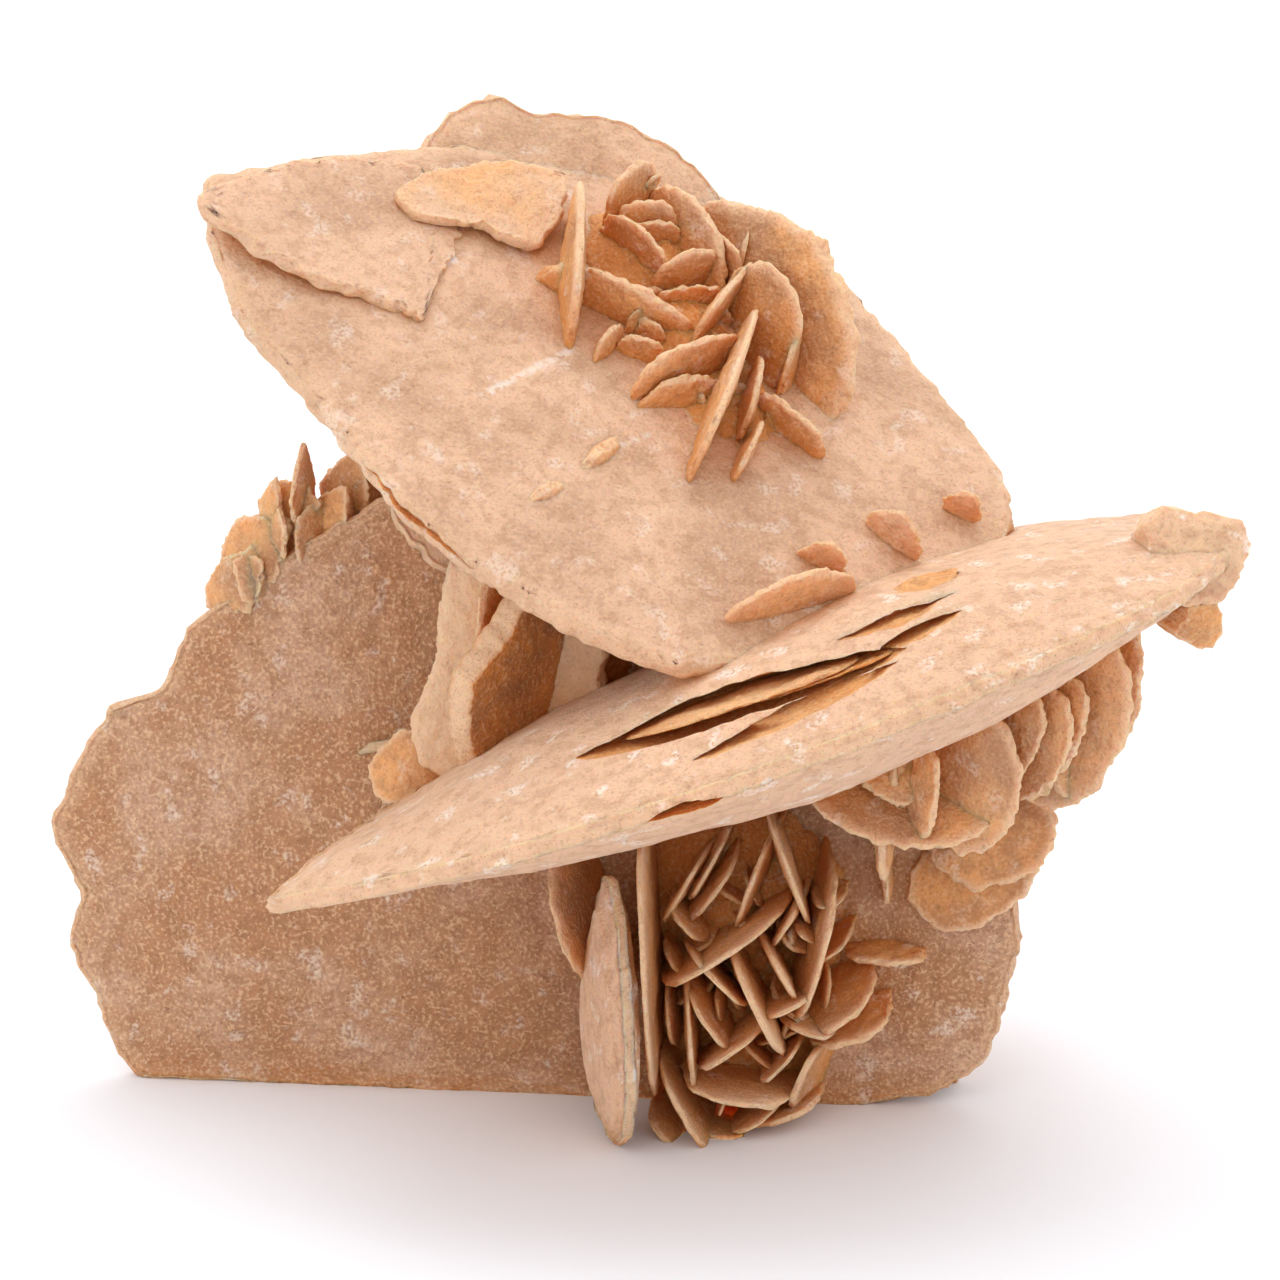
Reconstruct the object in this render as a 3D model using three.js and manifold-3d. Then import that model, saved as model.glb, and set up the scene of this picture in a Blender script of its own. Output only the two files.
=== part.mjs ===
import * as THREE from "three";
import { mergeVertices } from "three/addons/utils/BufferGeometryUtils.js";
import Module from "manifold-3d";

// A gypsum sand rose: lens-shaped blades of sand-filled gypsum that grew through each other,
// with rosettes of small crystals on their faces. It formed as one piece, so it is one solid.
// Millimetres, +Z up, standing on z = 0, with the side that shows best facing -Y.

const wasm = await Module();
wasm.setup();

const CRYSTAL_SIDES = 8;
const ROOT_DEPTH = 2;
const GROUND_BLOCK = 300;
const SAND_COLOUR = 0xc9966b;

// The middle of the whole outline seen from above, moved onto the vertical axis at the end.
const FOOTPRINT_MIDDLE = [-1.4, 3.35];

// Sections from the middle of one face, round the rim, to the middle of the other face. A step is
// a share of the way out to the rim, and a share of half the thickness.
const TABLET = [[0, -1], [0.8, -0.86], [1, -0.3], [1, 0.3], [0.8, 0.86], [0, 1]];
const THICK_LENS = [
  [0, -1], [0.45, -0.84], [0.8, -0.44], [1, -0.1], [1, 0.1], [0.8, 0.44], [0.45, 0.84], [0, 1],
];
const SHARP_LENS = [[0, -1], [1, 0], [0, 1]];

// Each blade lies round a hub point. Its face looks towards a compass bearing, with 0 to the front
// and 90 to the right, and tilts up by a second angle. Its rim is a list of corners across and up
// the face from the hub.
const BLADES = {
  back_plate: {
    hub: [-4, 8, 24],
    faces: [-6, 3],
    thickness: 5,
    section: TABLET,
    rim: [
      [-39, -24], [-41.5, -18], [-44, -12], [-42.5, -9], [-45.5, -3], [-43, 2.5], [-40, 8],
      [-36, 9], [-33, 15], [-24, 22], [-17, 26], [-6, 27], [10, 27], [24, 20], [33, 8], [35, -4],
      [35.5, -10], [33, -20], [29, -23], [19, -25], [-2.5, -25], [-20, -24.5],
    ],
  },
  top_slab: {
    hub: [-3.2, 4, 58.1],
    faces: [28, 55],
    thickness: 5,
    section: TABLET,
    rim: [
      [-23.5, 30], [-25.5, 23], [-26, 14], [-23.5, 6.5], [-20.5, -6.5], [-17.5, -12.5],
      [-10.5, -21.5], [-4.5, -26], [9, -28], [22, -24], [31, -16], [32, -10.5], [29.5, 3],
      [27.5, 11.5], [21.5, 21.5], [11, 28.5], [-3, 31], [-14, 31],
    ],
  },
  slab_ledge: {
    hub: [-16.8, 13.6, 71.2],
    faces: [34, 55],
    thickness: 1.8,
    section: TABLET,
    rim: [
      [-18.5, 7.5], [-19, 5.5], [-18.5, 4.5], [-17, 3], [-15.5, 0], [-14, -1.5], [-12.5, -3.5],
      [-10, -5.5], [-8, -7], [-5.5, -9], [1, -8.5], [10, -3], [14, 6], [3, 10], [-8.5, 9.5],
    ],
  },
  front_blade: {
    hub: [17.2, -12, 40.4],
    faces: [-100, 70],
    thickness: 13,
    section: THICK_LENS,
    rim: [
      [12.5, -48], [17, -38], [19.5, -25], [19, -10], [15.5, 2], [11, 12], [7, 20], [1, 26.5],
      [-8, 30], [-18, 28], [-27, 23.5], [-34, 14], [-35, -6], [-28, -24], [-13, -38], [2, -45.5],
    ],
  },
  crest_blade: {
    hub: [-4, 20, 60],
    faces: [12, 30],
    thickness: 4.5,
    section: TABLET,
    rim: [
      [-12.5, 18], [-10, 21.5], [-6, 22.5], [-3, 21], [3, 20.5], [9, 17.5], [13, 12], [16, 0],
      [14, -14], [6, -24], [-8, -25], [-18, -14], [-20, 2],
    ],
  },
  flake_on_slab: {
    hub: [-13.1, 16.4, 73.6],
    faces: [24, 51],
    thickness: 1.5,
    section: TABLET,
    rim: [
      [-7, 1.5], [-7, 0], [-6.3, -1.2], [-4, -2.2], [-0.5, -3], [0.5, -4.3], [3, -5.7], [6, -3.5],
      [8.5, 1.5], [4, 3.5], [-4, 3],
    ],
  },
  round_leaf_on_slab: {
    hub: [10.6, 14.3, 64.8],
    faces: [-40, 10],
    thickness: 2,
    section: TABLET,
    rim: [
      [-9.5, 7], [-6, 8.2], [0, 8], [4, 6.5], [7, 3], [9.3, -1], [9.3, -5], [7, -10], [0, -11],
      [-9, -9],
    ],
  },
  shaded_blade: {
    hub: [-7.6, 1, 37.4],
    faces: [46, -8],
    thickness: 3,
    section: TABLET,
    rim: [
      [-4, 8.5], [-6, 6], [-7, 4.5], [-8.5, 3.5], [-9.5, 2.5], [-10, 0.5], [-9.5, -2.5], [-8.5, -5],
      [-7.5, -9], [4, -14], [14, -6], [13, 8], [4, 13],
    ],
  },
  pale_blade: {
    hub: [-14, 3, 38],
    faces: [-18, 3],
    thickness: 2.4,
    section: TABLET,
    rim: [
      [-1.5, 8.5], [-2, 6], [-2.5, 3], [-2.5, 1], [-3.5, -2], [-4.5, -4.5], [-4.5, -6.5], [-4, -8.5],
      [2, -12], [10, -8], [12, 2], [8, 11],
    ],
  },
  spear_leaf: {
    hub: [-2.3, -4.5, 11.5],
    faces: [-74, 0],
    thickness: 3,
    section: TABLET,
    rim: [
      [0.5, 11.3], [2.5, 9], [4.5, 4], [5.5, -2], [6, -6], [4.5, -10], [1, -11.4], [-3.5, -10],
      [-5.5, -6], [-6.2, -1], [-5, 4], [-3, 8], [-1, 11],
    ],
  },
  rear_blade: {
    hub: [2, 19, 26],
    faces: [190, 62],
    thickness: 9,
    section: THICK_LENS,
    rim: [
      [-27, 4], [-22, 13], [-12, 16], [-3, 19], [8, 16], [18, 13], [27, 7], [30, -2], [20, -11],
      [6, -16], [-10, -16], [-22, -8],
    ],
  },
  rear_fin_left: {
    hub: [-21, 20, 22],
    faces: [80, 4],
    thickness: 4.5,
    section: TABLET,
    rim: [
      [-9, -24], [10, -24], [14, -15], [12, -8], [14, 2], [8, 15], [3, 23], [-3, 30], [-9, 27],
      [-12, 0],
    ],
  },
  rear_fin_right: {
    hub: [19, 19, 18],
    faces: [-66, -8],
    thickness: 4.5,
    section: TABLET,
    rim: [[-12, -19], [12, -19], [16, -8], [13, 6], [7, 17], [-4, 22], [-14, 18], [-16, 0]],
  },
  rear_shoulder: {
    hub: [-13, 22, 55],
    faces: [130, 18],
    thickness: 4,
    section: TABLET,
    rim: [
      [-12, -8], [-15, -2], [-9, 9], [2, 13], [11, 8], [15, -3], [11, -8], [0, -11],
    ],
  },
  rear_foot: {
    hub: [-3, 27, 11],
    faces: [165, -35],
    thickness: 4,
    section: TABLET,
    rim: [[-3, -13], [-4, -4], [-2, 8], [4, 13], [13, 9], [16, -2], [12, -13]],
  },
};

// Each rosette grows on a face, given by a point and the angles it looks along. A row is a crystal:
// where its crest stands across and up the face, heading of its foot, lean, length, rise, thickness.
const ROSETTES = {
  top_rosette: {
    at: [-2.6, 2.9, 59.9],
    faces: [28, 55],
    crystals: [
      [-2, 10.5, 63, 8, 16.5, 7, 2.4],
      [1.5, 5, -45, -8, 14, 4.5, 2.2],
      [5, 10.5, -77, -12, 8.5, 5, 1.6],
      [8.5, 7, 7, 0, 6, 5, 1.5],
      [8.5, 5.5, -5, -4, 6, 3.5, 1.5],
      [7, 13, -25, 6, 5, 5, 1.4],
      [8, 12, -18, 0, 5, 4, 1.5],
      [10.5, 11, -87, 10, 13, 5.5, 2],
      [6.5, 16, 30, 12, 7.5, 5.5, 1.8],
      [14, 8.5, 54, 4, 6, 5, 1.3],
      [12, 8, 86, -6, 5, 5, 1.5],
      [9, 2.5, 40, -6, 10, 6, 1.7],
      [6, -6.5, 52, -4, 20, 7, 1.9],
      [4, -2.5, 14, 4, 11, 5, 1.7],
      [4.5, -3, 0, 6, 7, 3, 1.6],
      [0.5, 4, 36, 10, 4.5, 2.5, 1.2],
      [3, 2.5, -40, 0, 4, 2.5, 1.4],
      [9, -5.5, 56, 0, 9, 5, 1.7],
      [7.5, -10, 50, -6, 6.5, 3.5, 1.4],
      [11, -8.5, -69, -14, 7.5, 3.5, 1.6],
      [13.5, -2.5, 49, 6, 6.5, 5, 1.6],
      [15, 4.5, -80, 12, 11, 9, 1.6],
    ],
  },
  slab_edge_crystals: {
    at: [-2.6, 2.9, 59.9],
    faces: [28, 55],
    crystals: [
      [15, -20.5, -56, -6, 5, 4, 1.6],
      [8.5, -22, -32, 0, 4, 3.5, 1.6],
      [4, -24.5, 0, 6, 12.5, 4.5, 2],
      [23.5, -18, -35, 0, 3.5, 2.5, 1.6],
      [-3.5, -6, 30, 0, 5.5, 1.2, 2.2],
      [-9.5, -9, 18, 0, 4, 1, 1.8],
    ],
  },
  front_rosette: {
    at: [-4.2, 6, 24.1],
    faces: [-6, 3],
    crystals: [
      [-1.5, -6.5, -75, -18, 12, 9, 1.8],
      [6.5, -8, -86, 2, 20, 14, 1.9],
      [8.5, -3, 60, 4, 6.5, 9, 1.5],
      [11, -1, 62, 0, 6.5, 9, 1.5],
      [11, -3.5, 55, -6, 6, 9, 1.5],
      [14, -2.5, 71, 4, 8, 9.5, 1.6],
      [18, -0.5, -70, 8, 9, 11, 1.8],
      [12, -7.5, 34, 0, 12, 13, 1.8],
      [12.5, -9, -43, 10, 6, 13, 1.6],
      [15.5, -11, -64, 6, 10, 13.5, 1.9],
      [17.5, -8.5, -61, 10, 6.5, 12, 1.7],
      [17.5, -11.5, 25, 0, 4.5, 12, 1.5],
      [17, -5, 59, 0, 5, 10, 1.5],
      [20, -7.5, 76, -12, 12.5, 11, 1.9],
      [9.5, -15, -86, 4, 9, 11, 1.7],
      [11, -13, -56, 0, 6.5, 12, 1.5],
      [13, -15.5, 38, 0, 8, 12, 1.6],
      [18.5, -14.5, -19, 0, 4.5, 9, 1.5],
      [21.5, -14, 32, -16, 7, 8, 1.8],
      [22, -16, 17, -14, 7, 6.5, 1.8],
      [24.5, -10.5, -2, -6, 6, 3.5, 1.8],
      [13.5, -19.5, -9, -4, 8.5, 11, 1.7],
      [16.5, -17, 46, 0, 4.5, 10, 1.4],
      [9.5, -21, -59, 0, 9, 11, 1.7],
      [7.5, -24, -38, -8, 6, 9, 1.6],
      [14.5, -22.5, 33, 0, 5, 9, 1.5],
      [18, -19, 68, 10, 6, 8, 2],
      [16.5, -23, 18, 0, 6, 7.5, 2],
      [24.5, -3, -87, 0, 5, 3, 1.5],
    ],
  },
  rear_rosette: {
    at: [0, 10.4, 38],
    faces: [178, 4],
    crystals: [
      [-4, 2, 35, 5, 13, 9, 2],
      [3, 0, -50, 0, 14, 10, 2],
      [8, 4, 70, 10, 11, 8, 1.8],
      [-9, -2, -75, -15, 11, 7, 1.8],
      [0, -5, 10, -20, 13, 8, 2],
      [-5, 8, -15, 20, 10, 6, 1.8],
      [10.5, -1, -70, 0, 9, 6, 1.8],
      [-13, 4, 60, -25, 9, 6, 1.8],
    ],
  },
  rear_blade_rosette: {
    at: [3.3, 22.5, 29],
    faces: [190, 62],
    crystals: [
      [-6, 3, 40, 10, 11, 7, 1.9],
      [2, 5, -35, 0, 12, 8, 1.9],
      [9, 2, 75, 15, 10, 7, 1.8],
      [-12, 0, -70, -20, 9, 6, 1.7],
      [5, 9, 20, 25, 8, 4, 1.6],
    ],
  },
  rear_left_rosette: {
    at: [-23.2, 22, 18],
    faces: [260, -4],
    crystals: [
      [-3, 3, 55, 0, 11, 6, 1.8],
      [3, 1, -40, 5, 12, 7, 1.9],
      [0, -5, 15, -15, 10, 5, 1.7],
      [6, 7, 70, 20, 8, 4, 1.6],
    ],
  },
  rear_right_rosette: {
    at: [21.4, 20, 17],
    faces: [114, 8],
    crystals: [
      [-3, 2, 50, 0, 11, 7, 1.8],
      [3, 3, -35, 5, 12, 8, 1.9],
      [1, -5, 10, -18, 11, 6, 1.8],
      [7, -2, 80, 20, 8, 5, 1.6],
      [-8, -3, -70, -20, 8, 5, 1.6],
    ],
  },
  crest_rear_crystals: {
    at: [-1, 22.4, 66],
    faces: [192, -30],
    crystals: [
      [3, -6, -55, 0, 12, 7, 1.8],
      [8, -1, 70, 20, 8, 4, 1.6],
      [0, 1, 5, 15, 8, 4, 1.6],
    ],
  },
};

// Leaf crystals that stand free of a face. A row is: centre, bearing and tilt of its face, turn of
// its long axis on the face, length, width, thickness.
const LEAVES = {
  left_rosette: [
    [-31.6, 12.4, 45, -30, 15, 45, 9, 6.5, 1.4],
    [-27.6, 13, 49.5, 70, 0, 85, 9, 5, 1.2],
    [-21.3, 16.5, 49.5, 62, -5, 75, 15, 8, 2],
    [-28.5, 13, 48.5, -20, 10, 20, 5, 5, 1.6],
    [-29.7, 11.8, 46.5, -65, 0, 75, 5.5, 4, 1.1],
    [-25.5, 12.6, 47.5, -50, 10, 60, 7, 5, 1.3],
  ],
  right_rosette: [
    [21, -7.5, 31.2, -8, 55, -13, 16, 12, 1.5],
    [22.2, -12, 32, -65, 0, 75, 8.5, 4.5, 1.4],
    [25.8, -10, 32.6, -32, -4, 80, 13, 9.5, 1.6],
    [20, -10, 33.2, -20, 30, -25, 7, 5, 1.4],
    [29.3, -9.5, 36.2, -40, 5, 65, 8, 5.5, 1.4],
    [31, -8.8, 35, -42, 0, 60, 11, 6.5, 1.4],
    [32.4, -8, 36.5, -42, 0, 65, 10, 6.5, 1.4],
    [33.4, -5.5, 36.5, -40, -5, 60, 18, 12, 1.6],
    [36.8, -1.5, 38.5, -50, 0, 80, 16, 9, 1.8],
    [35, -4.6, 32, 40, 0, 60, 6, 6, 1.6],
    [19.8, -1.5, 26, 85, 0, 90, 7, 16, 1.6],
    [27, 1.8, 20.5, -12, 12, 35, 11, 8, 2],
    [28.5, 0, 24.5, -20, 10, 22, 11, 8, 1.8],
  ],
  right_core: [[27, -1, 34, 55, 0, 70, 20, 26, 4]],
  shade_crystals: [
    [-10.3, 4.5, 43.5, 66, -5, 75, 15, 12, 1.4],
    [-18.5, 4.8, 29, -15, 5, 35, 8, 5.5, 2],
  ],
  blade_stub: [
    [42.8, -8, 49.5, 10, 20, 10, 7.5, 7.5, 4.5],
    [42.4, -9, 45, 30, -10, -20, 5.5, 5, 3],
  ],
};

// Cracks that run into the front blade from its near side, as rows like those of the leaves.
const FISSURES = [
  [9.2, -18.1, 41.4, -132, 67, 121, 34, 14, 4],
  [11, -24.1, 41.1, -132, 67, 140, 18, 8, 1.8],
];

function faceFrame([x, y, z], [bearing, tilt]) {
  const [a, e] = [bearing, tilt].map(THREE.MathUtils.degToRad);
  const out = new THREE.Vector3(Math.sin(a) * Math.cos(e), -Math.cos(a) * Math.cos(e), Math.sin(e));
  const across = new THREE.Vector3(-out.y, out.x, 0).normalize();
  const up = new THREE.Vector3().crossVectors(out, across);
  return new THREE.Matrix4().makeBasis(across, up, out).setPosition(x, y, z);
}

// A closed lathe of the section, with each of its sides drawn out to a corner of the rim.
function lens(rim, section, thickness) {
  const corners = rim.map(([x, y]) => new THREE.Vector2(x, y));
  if (THREE.ShapeUtils.isClockWise(corners)) corners.reverse();
  const profile = section.map(([reach, height]) => new THREE.Vector2(reach, height));
  const shape = new THREE.LatheGeometry(profile, corners.length);
  const place = shape.getAttribute("position");
  for (let i = 0; i < place.count; i += 1) {
    const corner = corners[Math.floor(i / section.length) % corners.length];
    const [reach, height] = section[i % section.length];
    place.setXYZ(i, corner.x * reach, corner.y * reach, (height * thickness) / 2);
  }
  return shape;
}

function ellipse(halfLength, above, below) {
  return Array.from({ length: CRYSTAL_SIDES }, (_, i) => {
    const turn = (2 * Math.PI * (i + 0.5)) / CRYSTAL_SIDES;
    const height = Math.sin(turn);
    return [halfLength * Math.cos(turn), height * (height > 0 ? above : below)];
  });
}

function bladeSolid({ hub, faces, thickness, section, rim }) {
  return solidOf(lens(rim, section, thickness), faceFrame(hub, faces));
}

function crystalSolid(face, [across, up, heading, lean, length, rise, thickness]) {
  const [h, l] = [heading, lean].map(THREE.MathUtils.degToRad);
  const foot = rise * Math.tan(l);
  const along = new THREE.Vector3(Math.cos(h), Math.sin(h), 0);
  const side = new THREE.Vector3(-Math.sin(h), Math.cos(h), 0);
  const growth = new THREE.Vector3(0, 0, Math.cos(l)).addScaledVector(side, Math.sin(l));
  const out = new THREE.Vector3().crossVectors(along, growth);
  const place = new THREE.Matrix4().makeBasis(along, growth, out);
  place.setPosition(across - foot * side.x, up - foot * side.y, 0).premultiply(face);
  const rim = ellipse(length / 2, rise / Math.cos(l), ROOT_DEPTH);
  return solidOf(lens(rim, SHARP_LENS, thickness), place);
}

function leafSolid([x, y, z, bearing, tilt, turn, length, width, thickness]) {
  const spin = new THREE.Matrix4().makeRotationZ(THREE.MathUtils.degToRad(turn));
  const place = faceFrame([x, y, z], [bearing, tilt]).multiply(spin);
  const rim = ellipse(length / 2, width / 2, width / 2);
  return solidOf(lens(rim, SHARP_LENS, thickness), place);
}

function solidOf(shape, placing) {
  shape.deleteAttribute("normal");
  shape.deleteAttribute("uv");
  const merged = mergeVertices(shape.applyMatrix4(placing), 1e-4);
  const vertProperties = merged.getAttribute("position").array;
  const triVerts = new Uint32Array(merged.index.array);
  return new wasm.Manifold(new wasm.Mesh({ numProp: 3, vertProperties, triVerts }));
}

const { front_blade: cracked, ...whole } = BLADES;
const frontBlade = FISSURES.reduce((solid, row) => solid.subtract(leafSolid(row)), bladeSolid(cracked));
const blades = Object.values(whole).map(bladeSolid);
const crystals = Object.values(ROSETTES).flatMap(({ at, faces, crystals: rows }) =>
  rows.map((row) => crystalSolid(faceFrame(at, faces), row)),
);
const leaves = Object.values(LEAVES).flat().map(leafSolid);
const grown = [...blades, ...crystals, ...leaves].reduce((rose, solid) => rose.add(solid), frontBlade);

const underGround = new THREE.Matrix4().makeTranslation(0, 0, -GROUND_BLOCK / 2);
const ground = solidOf(new THREE.BoxGeometry(GROUND_BLOCK, GROUND_BLOCK, GROUND_BLOCK), underGround);
const standing = grown.subtract(ground);

// The outer shell alone, so that no closed pocket is left between crystals.
const shells = standing.decompose().sort((a, b) => b.volume() - a.volume());
const mesh = shells[0].getMesh();
const body = new THREE.BufferGeometry();
body.setAttribute("position", new THREE.BufferAttribute(mesh.vertProperties, 3));
body.setIndex(new THREE.BufferAttribute(mesh.triVerts, 1));
body.translate(-FOOTPRINT_MIDDLE[0], -FOOTPRINT_MIDDLE[1], 0);
const sand = new THREE.MeshStandardMaterial({ color: SAND_COLOUR, roughness: 0.9, metalness: 0 });
const rose = new THREE.Mesh(body, sand);
rose.name = "sand_rose";

const group = new THREE.Group();
group.add(rose);
export default group;
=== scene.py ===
"""A gypsum sand rose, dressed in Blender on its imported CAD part.

Every large blade and every rosette of small crystals is a finely built piece over the one rough
solid of the CAD part. All sizes and places are millimetres in the frame that the CAD source uses.
"""

import logging
import math
import random
from dataclasses import dataclass, field
from enum import Enum

import bmesh
import bpy
from mathutils import Matrix, Vector, noise


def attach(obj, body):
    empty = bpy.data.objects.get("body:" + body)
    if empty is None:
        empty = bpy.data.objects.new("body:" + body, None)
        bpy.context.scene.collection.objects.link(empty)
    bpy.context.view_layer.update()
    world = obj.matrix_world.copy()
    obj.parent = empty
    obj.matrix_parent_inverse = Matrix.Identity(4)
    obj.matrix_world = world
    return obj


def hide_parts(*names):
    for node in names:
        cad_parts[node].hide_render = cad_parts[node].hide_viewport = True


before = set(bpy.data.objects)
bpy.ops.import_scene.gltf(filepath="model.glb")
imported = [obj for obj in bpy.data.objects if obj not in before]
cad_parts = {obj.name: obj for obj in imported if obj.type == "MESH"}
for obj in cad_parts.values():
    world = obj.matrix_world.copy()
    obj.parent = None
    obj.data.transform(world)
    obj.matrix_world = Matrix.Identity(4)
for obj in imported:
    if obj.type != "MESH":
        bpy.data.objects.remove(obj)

LOG = logging.getLogger("sand_rose")

MM = 0.001
BODY = "root"
NODE = "sand_rose"
# Where the middle of the footprint lies in the frame of the CAD source.
FOOTPRINT_MIDDLE = Vector((-1.4, 3.35, 0.0))
# How deep a small crystal is rooted in the face it grows on.
ROOT_DEPTH = 2.0
# The top slab's middle, the way it faces, and how far its scratched face lies from the middle.
SLAB_HUB = (-3.2, 4, 58.1)
SLAB_FACES = (28, 55)
SLAB_TOP = 2.3

Point = tuple[float, float, float]
Corner = tuple[float, float]
Row = tuple[float, ...]


def face_frame(point: Point, angles: tuple[float, float]) -> Matrix:
    """Gives the frame of a face.

    Args:
        point: A point of the face, in the frame of the CAD source.
        angles: The compass bearing that the face looks to, 0 to the front and 90 to the right,
            and the angle by which it tilts up, in degrees.

    Returns:
        A matrix whose X runs across the face, Y up it and Z out of it, in millimetres.
    """
    bearing, tilt = (math.radians(angle) for angle in angles)
    level = math.cos(tilt)
    out = Vector((math.sin(bearing) * level, -math.cos(bearing) * level, math.sin(tilt)))
    across = Vector((-out.y, out.x, 0.0)).normalized()
    turned = Matrix((across, out.cross(across), out)).transposed().to_4x4()
    return Matrix.Translation(Vector(point) - FOOTPRINT_MIDDLE) @ turned


def smooth_step(value: float) -> float:
    """Eases a value from 0 to 1, and holds it past both ends."""
    held = min(max(value, 0.0), 1.0)
    return held * held * (3 - 2 * held)


@dataclass(frozen=True)
class Profile:
    """How a blade thins from its middle, at a reach of 0, to its rim, at 1.

    Attributes:
        fall: Power of the fall towards the rim. A low one gives a lens, a high one a tablet.
        rim: Share of the thickness left where the rim begins to round.
        round_from: Reach at which the rim begins to round.
    """

    fall: float
    rim: float
    round_from: float

    def half(self, reach: float) -> float:
        """Gives the share of half the thickness.

        Args:
            reach: Share of the way from the middle out to the rim.

        Returns:
            A share from 1 in the middle to 0 at the very rim.
        """
        left = 1 - (1 - self.rim) * min(reach / self.round_from, 1.0) ** self.fall
        past = max(0.0, (reach - self.round_from) / (1 - self.round_from))
        return left * math.sqrt(max(0.0, 1 - past * past))


class Section(Enum):
    """The kinds of section that blades and crystals have."""

    TABLET = Profile(fall=4.0, rim=0.5, round_from=0.965)
    SQUARE_TABLET = Profile(fall=4.0, rim=0.88, round_from=0.98)
    THICK_LENS = Profile(fall=1.9, rim=0.13, round_from=0.98)
    CRYSTAL = Profile(fall=2.0, rim=0.36, round_from=0.96)
    SLIVER = Profile(fall=1.6, rim=0.05, round_from=0.97)


@dataclass(frozen=True)
class Relief:
    """How uneven a surface is. Heights and widths are millimetres.

    Attributes:
        swell: Height and width of its broad swells.
        lump: Height and width of its lumps.
        scallop: Depth and width of the rounded lobes of its rim.
        fray: Depth and width of the fine breaks of its rim.
        layer: Height of the thin broken layers near the rim.
    """

    swell: tuple[float, float] = (0.35, 11.0)
    lump: tuple[float, float] = (0.14, 2.6)
    scallop: tuple[float, float] = (0.5, 3.4)
    fray: tuple[float, float] = (0.3, 1.1)
    layer: float = 0.22

    LUMP_NOISE = (0.7, 2.1, 3)
    FRAY_NOISE = (0.8, 2.1, 3)
    LOBE_HEIGHT = 2.2
    LOBE_MIDDLE = 0.7
    BREAKS = ((0.8, 0.16, 9.0, 0.015), (0.93, 0.06, 4.0, 0.012))

    def rise(self, spot: Vector) -> float:
        """Outward shift of a face at a spot, in millimetres."""
        broad = noise.noise(spot / self.swell[1]) * self.swell[0]
        return broad + noise.fractal(spot / self.lump[1], *self.LUMP_NOISE) * self.lump[0]

    def rim_shift(self, spot: Vector) -> float:
        """Outward shift of the rim at a spot, in millimetres."""
        lobe = self.LOBE_HEIGHT * abs(noise.noise(spot / self.scallop[1])) - self.LOBE_MIDDLE
        frayed = noise.fractal(spot / self.fray[1], *self.FRAY_NOISE)
        return lobe * self.scallop[0] + frayed * self.fray[0]

    def layer_drop(self, reach: float, spot: Vector) -> float:
        """Gives the drop of the surface where thin layers have broken off near the rim.

        Args:
            reach: Share of the way from the middle out to the rim.
            spot: The place on the rim that lies outward from here.

        Returns:
            The drop in millimetres, 0 inside the first break.
        """
        steps = 0.0
        for middle, wander, width, slope in self.BREAKS:
            edge = middle + wander * noise.noise(spot / width)
            steps += smooth_step((reach - edge) / slope)
        return self.layer * steps


BLADE_RELIEF = Relief()
PLATE_RELIEF = Relief((0.5, 9.0), (0.26, 2.0), (0.3, 3.4), (0.35, 1.1), 0.15)
SLAB_RELIEF = Relief((0.35, 14.0), (0.08, 2.4), (0.35, 2.6), (0.3, 0.9), 0.07)
CRYSTAL_RELIEF = Relief((0.2, 4.0), (0.13, 1.0), (0.36, 2.2), (0.3, 0.6), 0.0)
CRACK_RELIEF = Relief((0.3, 6.0), (0.12, 1.6), (0.4, 3.5), (0.3, 1.0), 0.0)
MOUND_RELIEF = Relief((0.4, 3.0), (0.35, 1.2), (0.8, 3.0), (0.5, 1.2), 0.0)
ROUGH_BREAK = Relief((0.3, 3.0), (0.25, 1.2), (0.4, 2.0), (0.3, 0.8), 0.0)
# The share of its row's thickness that a small crystal gets.
SLENDER = 0.72
# A crest so high that the whole of a mound counts as deep and takes the full painted orange shade.
BURIED = 1000.0
# How far a crack's cutter stands out of the blade.
LIP_HEIGHT = 3.0


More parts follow.
